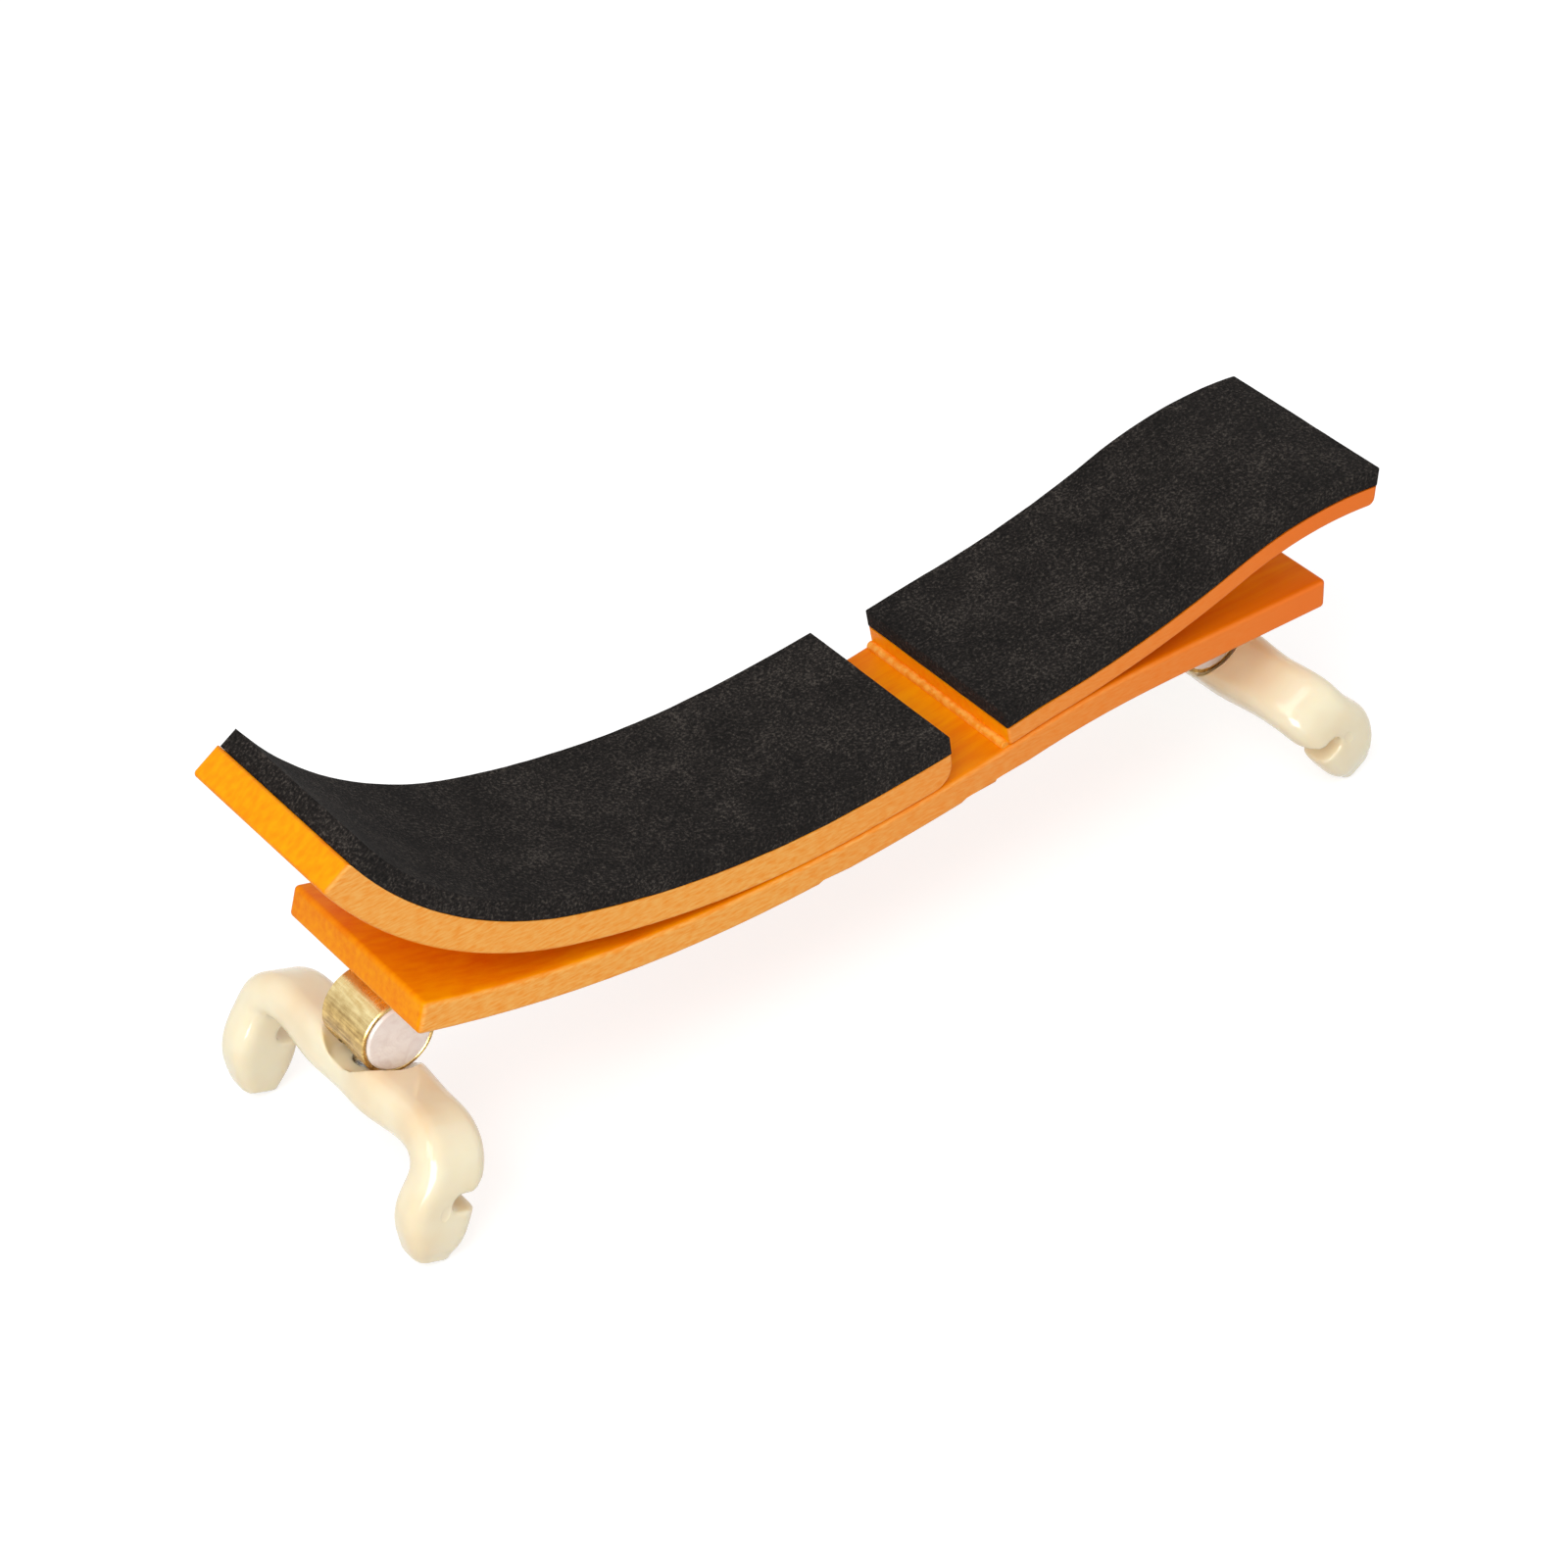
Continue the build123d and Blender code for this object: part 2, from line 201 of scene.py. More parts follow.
@dataclass(frozen=True)
class VarnishedMaple:
    """Maple stained orange: deep amber faces, paler flecked edges and bright yellow-orange ends."""

    face: tuple = ((0.36, "F48200"), (0.6, "FFA200"))
    edge: tuple = ((0.34, "FA9A34"), (0.62, "FFBA60"))
    cut_end: tuple = ((0.34, "FF9400"), (0.64, "FFA800"))
    deep_face: str = "E46A00"
    deep_edge: str = "FA7E2C"
    grain: tuple = (38.0, 1.3, 1.3)
    fleck: tuple = (2.4, 0.5, 0.5)
    blotch: tuple = (16.0, 16.0, 16.0)
    blotchiness: float = 0.45
    deepening: tuple = (-30.0, 105.0)
    rim: tuple = (13.0, 22.0)
    edge_turn: tuple = (0.5, 0.9)
    end_turn: tuple = (0.8, 0.95)
    pore_depth: float = 0.05
    pore_strength: float = 0.3
    roughness: float = 0.38
    specular: float = 0.1
    ior: float = 1.45

    def material(self, name: str, end: tuple) -> bpy.types.Material:
        """Build the material.

        Args:
            name: Which piece it is for.
            end: Outward direction of the piece's cut end that took the stain brightest.

        Returns:
            The material.
        """
        made = new_material(f"orange_stained_maple_{name}")
        grain = lumps(made, self.grain, detail=5.0, roughness=0.6)
        fleck = lumps(made, self.fleck, detail=3.0, roughness=0.55)
        blotches = lumps(made, self.blotch, detail=2.0)
        mottled = add_node(made, "ShaderNodeMix", {"Factor": self.blotchiness, "A": grain, "B": blotches})
        face = add_node(made, "ShaderNodeValToRGB", {"Fac": mottled.outputs["Result"]}, self.face)
        edge = add_node(made, "ShaderNodeValToRGB", {"Fac": fleck}, self.edge)
        cut_end = add_node(made, "ShaderNodeValToRGB", {"Fac": grain}, self.cut_end)
        deep = self.deepen(made, face.outputs["Color"], edge.outputs["Color"])
        colour = self.join_up(made, end, *deep, cut_end.outputs["Color"])
        pores = add_node(
            made,
            "ShaderNodeBump",
            {"Height": fleck, "Strength": self.pore_strength, "Distance": self.pore_depth * MM},
        )
        return finish_surface(
            made,
            {
                "Base Color": colour,
                "Roughness": self.roughness,
                "IOR": self.ior,
                "Specular IOR Level": self.specular,
                "Normal": pores.outputs["Normal"],
            },
        )

    def deepen(
        self, made: bpy.types.Material, face: bpy.types.NodeSocket, edge: bpy.types.NodeSocket
    ) -> tuple:
        """Make both colours deeper and redder towards the chest end, and the faces' colour also along their
        rim.

        Args:
            made: The material.
            face: Colour of the broad faces.
            edge: Colour of the long edges.

        Returns:
            Both colours, deepened.
        """
        place = add_node(made, "ShaderNodeSeparateXYZ", {"Vector": in_cells(made, (1.0, 1.0, 1.0))})
        deeper = add_node(
            made,
            "ShaderNodeMapRange",
            {"Value": place.outputs["X"], "From Min": self.deepening[0], "From Max": self.deepening[1]},
        )
        off_middle = add_node(made, "ShaderNodeMath", {0: place.outputs["Y"]}, operation="ABSOLUTE")
        at_rim = add_node(
            made,
            "ShaderNodeMapRange",
            {"Value": off_middle.outputs["Value"], "From Min": self.rim[0], "From Max": self.rim[1]},
        )
        both = add_node(
            made,
            "ShaderNodeMath",
            {0: deeper.outputs["Result"], 1: at_rim.outputs["Result"]},
            operation="MULTIPLY",
        )
        deep_face = add_node(
            made,
            "ShaderNodeMix",
            {"Factor": both.outputs["Value"], FIRST_COLOUR: face, SECOND_COLOUR: linear(self.deep_face)},
            data_type="RGBA",
        )
        deep_edge = add_node(
            made,
            "ShaderNodeMix",
            {"Factor": deeper.outputs["Result"], FIRST_COLOUR: edge, SECOND_COLOUR: linear(self.deep_edge)},
            data_type="RGBA",
        )
        return deep_face.outputs[BLEND], deep_edge.outputs[BLEND]

    def join_up(
        self,
        made: bpy.types.Material,
        end: tuple,
        face: bpy.types.NodeSocket,
        edge: bpy.types.NodeSocket,
        cut_end: bpy.types.NodeSocket,
    ) -> bpy.types.NodeSocket:
        """Lay each colour on the sides of the wood that face its way.

        Args:
            made: The material.
            end: Outward direction of the cut end.
            face: Colour of the broad faces.
            edge: Colour of the long edges.
            cut_end: Colour of the cut end.

        Returns:
            The wood's colour.
        """
        normal = add_node(made, "ShaderNodeTexCoord", {}).outputs["Normal"]
        across = add_node(made, "ShaderNodeSeparateXYZ", {"Vector": normal})
        aside = add_node(made, "ShaderNodeMath", {0: across.outputs["Y"]}, operation="ABSOLUTE")
        on_edge = add_node(
            made,
            "ShaderNodeMapRange",
            {"Value": aside.outputs["Value"], "From Min": self.edge_turn[0], "From Max": self.edge_turn[1]},
        )
        facing = add_node(made, "ShaderNodeVectorMath", {0: normal, 1: end}, operation="DOT_PRODUCT")
        on_end = add_node(
            made,
            "ShaderNodeMapRange",
            {"Value": facing.outputs["Value"], "From Min": self.end_turn[0], "From Max": self.end_turn[1]},
        )
        with_edge = add_node(
            made,
            "ShaderNodeMix",
            {"Factor": on_edge.outputs["Result"], FIRST_COLOUR: face, SECOND_COLOUR: edge},
            data_type="RGBA",
        )
        with_end = add_node(
            made,
            "ShaderNodeMix",
            {
                "Factor": on_end.outputs["Result"],
                FIRST_COLOUR: with_edge.outputs[BLEND],
                SECOND_COLOUR: cut_end,
            },
            data_type="RGBA",
        )
        return with_end.outputs[BLEND]


@dataclass(frozen=True)
class ClosedCellFoam:
    """Black closed-cell foam sheet: matt, with cut cells that catch the light as fine grey specks."""

    tones: tuple = ((0.34, "0A0908"), (0.44, "171412"), (0.54, "262220"), (0.66, "504A44"))
    cell: float = 0.62
    patch: float = 11.0
    wear: float = 0.22
    cell_depth: float = 0.3
    cell_strength: float = 0.8
    roughness: float = 0.95
    specular: float = 0.15
    ior: float = 1.45

    def material(self) -> bpy.types.Material:
        """Build the material.

        Returns:
            The material.
        """
        made = new_material("black_closed_cell_foam")
        cells = lumps(made, (self.cell,) * 3, detail=4.0, roughness=0.75)
        patches = lumps(made, (self.patch,) * 3, detail=3.0, roughness=0.6)
        worn = add_node(
            made,
            "ShaderNodeMath",
            {0: patches, 1: self.wear, 2: -self.wear / 2},
            operation="MULTIPLY_ADD",
        )
        level = add_node(made, "ShaderNodeMath", {0: cells, 1: worn.outputs["Value"]}, operation="ADD")
        colour = add_node(made, "ShaderNodeValToRGB", {"Fac": level.outputs["Value"]}, self.tones)
        relief = add_node(
            made,
            "ShaderNodeBump",
            {"Height": cells, "Strength": self.cell_strength, "Distance": self.cell_depth * MM},
        )
        return finish_surface(
            made,
            {
                "Base Color": colour.outputs["Color"],
                "Roughness": self.roughness,
                "IOR": self.ior,
                "Specular IOR Level": self.specular,
                "Normal": relief.outputs["Normal"],
            },
        )


@dataclass(frozen=True)
class SatinBrass:
    """Turned brass tube: pale satin gold, brushed round and along, with dull patches, and painted shade
    browning its sides and underside.
    """

    # The first tones are the brass's own; the second, browner ones are painted shade for the sides and
    # underside.
    upper_side_tones: tuple = ((0.36, "E0C07C"), (0.58, "FFEEB6"))
    painted_shade_tones: tuple = ((0.36, "8A6B3E"), (0.62, "E0C07C"))
    round_scratch: tuple = (7.0, 0.22, 7.0)
    long_scratch: tuple = (0.66, 7.0, 0.66)
    patch: float = 3.5
    upward: tuple = (0.45, 0.92)
    scratched: tuple = (0.3, 0.6)
    roughness: tuple = (0.42, 0.2)
    scratch_depth: float = 0.02
    scratch_strength: float = 0.6

    def material(self) -> bpy.types.Material:
        """Build the material.

        Returns:
            The material.
        """
        made = new_material("satin_turned_brass")
        round_it = lumps(made, self.round_scratch, detail=4.0, roughness=0.7)
        along_it = lumps(made, self.long_scratch, detail=3.0, roughness=0.6)
        scratches = add_node(made, "ShaderNodeMath", {0: round_it, 1: along_it}, operation="MINIMUM")
        roughness = add_node(
            made,
            "ShaderNodeMapRange",
            {
                "Value": scratches.outputs["Value"],
                "From Min": self.scratched[0],
                "From Max": self.scratched[1],
                "To Min": self.roughness[0],
                "To Max": self.roughness[1],
            },
        )
        relief = add_node(
            made,
            "ShaderNodeBump",
            {
                "Height": scratches.outputs["Value"],
                "Strength": self.scratch_strength,
                "Distance": self.scratch_depth * MM,
            },
        )
        return finish_surface(
            made,
            {
                "Base Color": self.colour(made, along_it),
                "Metallic": 1.0,
                "Roughness": roughness.outputs["Result"],
                "Normal": relief.outputs["Normal"],
            },
        )

    def colour(self, made: bpy.types.Material, along_it: bpy.types.NodeSocket) -> bpy.types.NodeSocket:
        """Keep the upper side pale and brown the sides and underside, as painted shade.

        Args:
            made: The material.
            along_it: The scratches along the barrel.

        Returns:
            The brass's colour.
        """
        patches = lumps(made, (self.patch,) * 3, detail=4.0, roughness=0.6)
        wear = add_node(made, "ShaderNodeMix", {"Factor": 0.5, "A": patches, "B": along_it})
        upper_side_tones = add_node(made, "ShaderNodeValToRGB", {"Fac": wear.outputs["Result"]}, self.upper_side_tones)
        painted_shade_tones = add_node(made, "ShaderNodeValToRGB", {"Fac": wear.outputs["Result"]}, self.painted_shade_tones)
        normal = add_node(made, "ShaderNodeTexCoord", {}).outputs["Normal"]
        height = add_node(made, "ShaderNodeSeparateXYZ", {"Vector": normal})
        # Painted shade: the less a face points up, the more it takes the browner tones.
        on_top = add_node(
            made,
            "ShaderNodeMapRange",
            {"Value": height.outputs["Z"], "From Min": self.upward[0], "From Max": self.upward[1]},
        )
        with_painted_shade = add_node(
            made,
            "ShaderNodeMix",
            {
                "Factor": on_top.outputs["Result"],
                FIRST_COLOUR: painted_shade_tones.outputs["Color"],
                SECOND_COLOUR: upper_side_tones.outputs["Color"],
            },
            data_type="RGBA",
        )
        return with_painted_shade.outputs[BLEND]


@dataclass(frozen=True)
class TurnedNylon:
    """White nylon rod with a faced end: faint rings of the turning tool round its middle."""

    axis: tuple
    tones: tuple = ((0.35, "EEE4DF"), (0.62, "F8F1EC"))
    ring: float = 0.9
    smear: float = 2.5
    ring_depth: float = 0.05
    ring_strength: float = 0.25
    roughness: float = 0.42
    ior: float = 1.53
    milkiness: float = 0.15
    glow: tuple = (1.0, 0.9, 0.9)
    glow_reach: float = 0.6

    def material(self, name: str) -> bpy.types.Material:
        """Build the material.

        Args:
            name: Which trunnion it is for.

        Returns:
            The material.
        """
        made = new_material(f"turned_white_nylon_{name}")
        rings = add_node(
            made,
            "ShaderNodeTexWave",
            {
                "Vector": in_cells(made, (self.ring,) * 3, self.axis),
                "Scale": 0.5,
                "Distortion": 1.5,
                "Detail": 2.0,
                "Detail Scale": 0.6,
            },
            wave_type="RINGS",
            rings_direction="Y",
        )
        smears = lumps(made, (self.smear,) * 3, detail=3.0, distortion=1.2)
        colour = add_node(made, "ShaderNodeValToRGB", {"Fac": smears}, self.tones)
        relief = add_node(
            made,
            "ShaderNodeBump",
            {
                "Height": rings.outputs["Fac"],
                "Strength": self.ring_strength,
                "Distance": self.ring_depth * MM,
            },
        )
        return finish_surface(
            made,
            {
                "Base Color": colour.outputs["Color"],
                "Roughness": self.roughness,
                "IOR": self.ior,
                "Subsurface Weight": self.milkiness,
                "Subsurface Radius": self.glow,
                "Subsurface Scale": self.glow_reach * MM,
                "Normal": relief.outputs["Normal"],
            },
        )


@dataclass(frozen=True)
class MouldedPlastic:
    """Cream injection-moulded plastic: glossy, a little milky, with soft flow marks."""

    tones: tuple = ((0.35, "F6E2BC"), (0.62, "FCEFD0"))
    flow: float = 14.0
    ripple: float = 6.0
    ripple_depth: float = 0.3
    ripple_strength: float = 0.12
    roughness: float = 0.13
    ior: float = 1.49
    milkiness: float = 0.4
    glow: tuple = (1.0, 0.8, 0.5)
    glow_reach: float = 2.0

    def material(self) -> bpy.types.Material:
        """Build the material.

        Returns:
            The material.
        """
        made = new_material("cream_moulded_plastic")
        flow = lumps(made, (self.flow,) * 3, detail=2.0)
        colour = add_node(made, "ShaderNodeValToRGB", {"Fac": flow}, self.tones)
        relief = add_node(
            made,
            "ShaderNodeBump",
            {
                "Height": lumps(made, (self.ripple,) * 3, detail=1.0),
                "Strength": self.ripple_strength,
                "Distance": self.ripple_depth * MM,
            },
        )
        return finish_surface(
            made,
            {
                "Base Color": colour.outputs["Color"],
                "Roughness": self.roughness,
                "IOR": self.ior,
                "Subsurface Weight": self.milkiness,
                "Subsurface Radius": self.glow,
                "Subsurface Scale": self.glow_reach * MM,
                "Normal": relief.outputs["Normal"],
            },
        )


@dataclass(frozen=True)
class PlatedSteel:
    """Zinc-plated steel of screws and studs: bluish grey, with a slightly cloudy shine."""

    tones: tuple = ((0.35, "A9ACAE"), (0.65, "C9CBCC"))
    cloud: float = 0.8
    roughness: tuple = (0.2, 0.4)

    def material(self) -> bpy.types.Material:
        """Build the material.

        Returns:
            The material.
        """
        made = new_material("zinc_plated_steel")
        clouds = lumps(made, (self.cloud,) * 3, detail=3.0)
        colour = add_node(made, "ShaderNodeValToRGB", {"Fac": clouds}, self.tones)
        roughness = add_node(
            made,
            "ShaderNodeMapRange",
            {"Value": clouds, "To Min": self.roughness[0], "To Max": self.roughness[1]},
        )
        return finish_surface(
            made,
            {
                "Base Color": colour.outputs["Color"],
                "Metallic": 1.0,
                "Roughness": roughness.outputs["Result"],
            },
        )


@dataclass(frozen=True)
class DriedGlue:
    """Clear wood glue that squeezed out and dried in beads: amber over the orange wood."""

    tones: tuple = ((0.4, "F79A1E"), (0.6, "FFB648"))
    tint: float = 1.5
    roughness: float = 0.4
    ior: float = 1.47
    specular: float = 0.3

    def material(self) -> bpy.types.Material:
        """Build the material.

        Returns:
            The material.
        """
        made = new_material("dried_wood_glue")
        tint = lumps(made, (self.tint,) * 3, detail=2.0)
        colour = add_node(made, "ShaderNodeValToRGB", {"Fac": tint}, self.tones)
        return finish_surface(
            made,
            {
                "Base Color": colour.outputs["Color"],
                "Roughness": self.roughness,
                "IOR": self.ior,
                "Specular IOR Level": self.specular,
            },
        )


def dress(node: str, material: bpy.types.Material) -> None:
    """Give a CAD node its finish.

    Args:
        node: The node's name.
        material: The finish.
    """
    piece = frame["nodes"][node]
    piece.data.materials.clear()
    piece.data.materials.append(material)
    log.info("dressed %s", node)


def select_none() -> None:
    """Deselect everything, so that the next operator acts on the new piece alone."""
    bpy.ops.object.select_all(action="DESELECT")


def select_only(piece: bpy.types.Object) -> None:
    """Make a piece the only selected and active one.

    Args:
        piece: The piece.
    """
    select_none()
    piece.select_set(True)
    bpy.context.view_layer.objects.active = piece


def copy_of(node: str, merge: float = 0.002) -> bpy.types.Object:
    """Copy a CAD node into a new piece, its loose triangles merged into one skin.

    Args:
        node: The node's name.
        merge: Points closer than this become one, in millimetres.

    Returns:
        The copy, selected and active.
    """
    source = frame["nodes"][node]
    piece = source.copy()
    piece.data = source.data.copy()
    bpy.context.collection.objects.link(piece)
    piece.parent = None
    piece.matrix_world = Matrix.Identity(4)
    select_only(piece)
    bpy.ops.object.mode_set(mode="EDIT")
    bpy.ops.mesh.select_all(action="SELECT")
    bpy.ops.mesh.remove_doubles(threshold=merge * MM)
    bpy.ops.object.mode_set(mode="OBJECT")
    return piece


def work(piece: bpy.types.Object, name: str, kind: str, **settings) -> None:
    """Work the active piece with one modifier, and apply it.

    Args:
        piece: The piece.
        name: What is done to it.
        kind: Modifier type, such as BEVEL.
        **settings: Properties of the modifier.
    """
    modifier = piece.modifiers.new(name, kind)
    for setting, value in settings.items():
        setattr(modifier, setting, value)
    bpy.ops.object.modifier_apply(modifier=modifier.name)


def settle(piece: bpy.types.Object, name: str, material: bpy.types.Material, smooth_to: float) -> None:
    """Finish a new piece: apply its place, shade and name it, and give it its material.

    Args:
        piece: The piece.
        name: Its name.
        material: Its finish.
        smooth_to: Edges look smooth up to this angle, in degrees.
    """
    select_only(piece)
    bpy.ops.object.transform_apply(location=True, rotation=True, scale=True)
    bpy.ops.object.shade_smooth_by_angle(angle=math.radians(smooth_to))
    piece.name = name
    piece.data.name = name
    piece.data.materials.clear()
    piece.data.materials.append(material)
    log.info("built %s with %d faces", name, len(piece.data.polygons))


def leg_line(end: End) -> tuple:
    """Find the line that a leg stands on.

    Args:
        end: The leg's end of the rest.

    Returns:
        Middle of its trunnion, in metres, and the direction down the leg.
    """
    turn = next(joint for joint in frame["joints"] if joint["name"] == f"{end.value}_turn")
    return Vector(turn["pos_m"]), Vector(turn["axis"]).normalized()


@dataclass
class Woodwork:
    """The bar and the two plates glued on it."""

    finish: VarnishedMaple = field(default_factory=VarnishedMaple)
    ends: dict = field(
        default_factory=lambda: {
            "base_bar": (0.0, 0.0, -1.0),
            "shoulder_plate": (-0.53, 0.0, 0.85),
            "chest_plate": (-0.99, 0.0, 0.1),
        }
    )

    def build(self) -> None:
        """Dress the three wooden pieces."""
        for node, end in self.ends.items():
            dress(node, self.finish.material(node, end))


@dataclass
class FoamPad:
    """A pad die-cut from foam sheet and glued on a plate."""

    end: End
    flat_within: float = 0.3
    edge_radius: float = 0.45
    edge_segments: int = 3
    edge_from: float = 40.0
    step: float = 1.5
    unevenness: float = 0.18
    lump: float = 7.0
    smooth_to: float = 50.0

    def build(self, material: bpy.types.Material) -> None:
        """Model the pad over its CAD solid, with rounded edges and an uneven skin.

        Args:
            material: The foam's finish.
        """
        node = f"{self.end.value}_pad"
        pad = copy_of(node)
        bpy.ops.object.mode_set(mode="EDIT")
        bpy.ops.mesh.dissolve_limited(angle_limit=math.radians(self.flat_within))
        self.slice_up(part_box(node))
        bpy.ops.object.mode_set(mode="OBJECT")
        work(
            pad,
            "cut_edge",
            "BEVEL",
            width=self.edge_radius * MM,
            segments=self.edge_segments,
            limit_method="ANGLE",
            angle_limit=math.radians(self.edge_from),
        )
        texture = bpy.data.textures.new(f"{node}_skin", "CLOUDS")
        texture.noise_scale = self.lump * MM
        work(
            pad,
            "skin",
            "DISPLACE",
            texture=texture,
            texture_coords="LOCAL",
            strength=-self.unevenness * MM,
            mid_level=0.0,
        )
        settle(pad, f"{self.end.value}_foam_pad", material, self.smooth_to)
        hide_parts(node)
        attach(pad, "rest")

    def slice_up(self, box: tuple) -> None:
        """Cut the mesh being edited across and along, so that its skin can be moved.

        Args:
            box: Lowest and highest corners of the pad.
        """
        for axis in (0, 1):
            low, high = box[0][axis], box[1][axis]
            count = round((high - low) / (self.step * MM))
            normal = [0.0, 0.0, 0.0]
            normal[axis] = 1.0
            for i in range(1, count):
                point = [0.0, 0.0, 0.0]
                point[axis] = low + (high - low) * i / count
                bpy.ops.mesh.select_all(action="SELECT")
                bpy.ops.mesh.bisect(plane_co=point, plane_no=normal)


@dataclass
class GlueLine:
    """Beads of glue squeezed out along the inner foot of the chest plate."""

    count: int = 46
    smallest: float = 0.24
    largest: float = 0.5
    foot_depth: float = 1.2
    first: float = 0.02
    spread: float = 0.96
    stray: float = 0.4
    outward: tuple = (-0.1, 0.45)
    lift: float = 0.3
    stretch: tuple = (1.0, 1.9)
    flatness: float = 0.8
    fillet: float = 1.0
    fillet_facets: int = 24
    fillet_share: float = 0.97
    grid: float = 0.14
    softening: int = 4
    smooth_to: float = 80.0
    seed: int = 7
    finish: DriedGlue = field(default_factory=DriedGlue)

    def foot(self) -> tuple:
        """Find the line where the plate meets the bar.

        Returns:
            Its two ends, in metres.
        """
        low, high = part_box("chest_plate")
        points = [v.co for v in frame["nodes"]["chest_plate"].data.vertices]
        near = [point for point in points if point.x < low.x + self.foot_depth * MM]
        bottom = min(near, key=lambda point: point.z)
        return Vector((low.x, low.y, bottom.z)), Vector((low.x, high.y, bottom.z))

    def build(self) -> None:
        """Model the beads and the fillet behind them, run together into one line."""
        start, stop = self.foot()
        draw = random.Random(self.seed)
        select_none()
        beads = []
        for i in range(self.count):
            radius = draw.triangular(self.smallest, self.largest, self.smallest) * MM
            share = (i + 0.5 + draw.uniform(-self.stray, self.stray)) / self.count
            off_line = Vector((draw.uniform(*self.outward) * MM, 0, radius * self.lift))
            place = start.lerp(stop, self.first + self.spread * share) + off_line
            bpy.ops.mesh.primitive_ico_sphere_add(subdivisions=2, radius=radius, location=place)
            bead = bpy.context.object
            bead.scale = (1.0, draw.uniform(*self.stretch), self.flatness)
            beads.append(bead)
        bpy.ops.mesh.primitive_cylinder_add(
            vertices=self.fillet_facets,
            radius=self.fillet * MM,
            depth=self.fillet_share * (stop - start).length,
            location=start.lerp(stop, 0.5),
            rotation=(math.pi / 2, 0, 0),
        )
        for bead in beads:
            bead.select_set(True)
        bpy.ops.object.join()
        line = bpy.context.object
        work(line, "run_together", "REMESH", mode="VOXEL", voxel_size=self.grid * MM)
        work(line, "soften", "SMOOTH", iterations=self.softening)
        settle(line, "glue_beads", self.finish.material(), self.smooth_to)
        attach(line, "rest")


@dataclass
class ThreadedStem:
    """Plated stud with a rolled thread, the leg's height screw."""

    end: End
    radius: float = 2.98
    pitch: float = 1.0
    depth: float = 0.58
    facets: int = 40
    point: float = 0.5
    point_from: float = 60.0
    flank: float = 0.46
    smooth_to: float = 30.0

    def span(self) -> tuple:
        """Measure the CAD stem along its leg.

        Returns:
            Its upper end, its direction and its length, in metres.
        """
        place, along = leg_line(self.end)
        stem = frame["nodes"][f"{self.end.value}_stem"]
        reach = [(v.co - place).dot(along) for v in stem.data.vertices]
        return place + along * min(reach), along, max(reach) - min(reach)

    def core(self, length: float) -> bpy.types.Object:
        """Model the stud's plain core, standing on the origin.

        Args:
            length: The stud's length, in metres.

        Returns:
            The core.
        """
        bpy.ops.mesh.primitive_cylinder_add(
            vertices=self.facets,
            radius=(self.radius - self.depth) * MM,
            depth=length,
            location=(0, 0, length / 2),
        )
        core = bpy.context.object
        work(
            core,
            "point",
            "BEVEL",
            width=self.point * MM,
            limit_method="ANGLE",
            angle_limit=math.radians(self.point_from),
        )
        return core

    def thread(self, length: float) -> bpy.types.Object:
        """Wind a ridge with four sides up the core.

        Args:
            length: The stud's length, in metres.

        Returns:
            The ridge, with closed ends.
        """
        bpy.ops.mesh.primitive_circle_add(
            vertices=4,
            radius=self.depth * MM,
            location=((self.radius - self.depth) * MM, 0, self.point * MM),
            rotation=(math.pi / 2, 0, 0),
        )
        ridge = bpy.context.object
        ridge.scale.y = self.flank * self.pitch / self.depth
        bpy.ops.object.transform_apply(location=True, rotation=True, scale=True)
        work(
            ridge,
            "helix",
            "SCREW",
            screw_offset=self.pitch * MM,
            iterations=int((length / MM - 2 * self.point) / self.pitch),
            steps=self.facets,
            render_steps=self.facets,
        )
        bpy.ops.object.mode_set(mode="EDIT")
        bpy.ops.mesh.select_all(action="SELECT")
        bpy.ops.mesh.fill_holes(sides=4)
        bpy.ops.mesh.select_all(action="SELECT")
        bpy.ops.mesh.normals_make_consistent(inside=False)
        bpy.ops.object.mode_set(mode="OBJECT")
        return ridge

    def build(self, material: bpy.types.Material) -> None:
        """Join the stud's core and its thread, and stand them along the leg.

        Args:
            material: The plating.
        """
        place, along, length = self.span()
        select_none()
        stud = self.core(length)
        self.thread(length)
        stud.select_set(True)
        bpy.context.view_layer.objects.active = stud
        bpy.ops.object.join()
        # The core's origin is at its middle, so it is brought to the stud's upper end first.
        bpy.ops.object.transform_apply(location=True, rotation=True, scale=True)
        stud.matrix_world = Matrix.Translation(place) @ along.to_track_quat("Z", "Y").to_matrix().to_4x4()
        name = self.end.value
        settle(stud, f"{name}_threaded_stem", material, self.smooth_to)
        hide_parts(f"{name}_stem")
        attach(stud, f"{name}_screw")


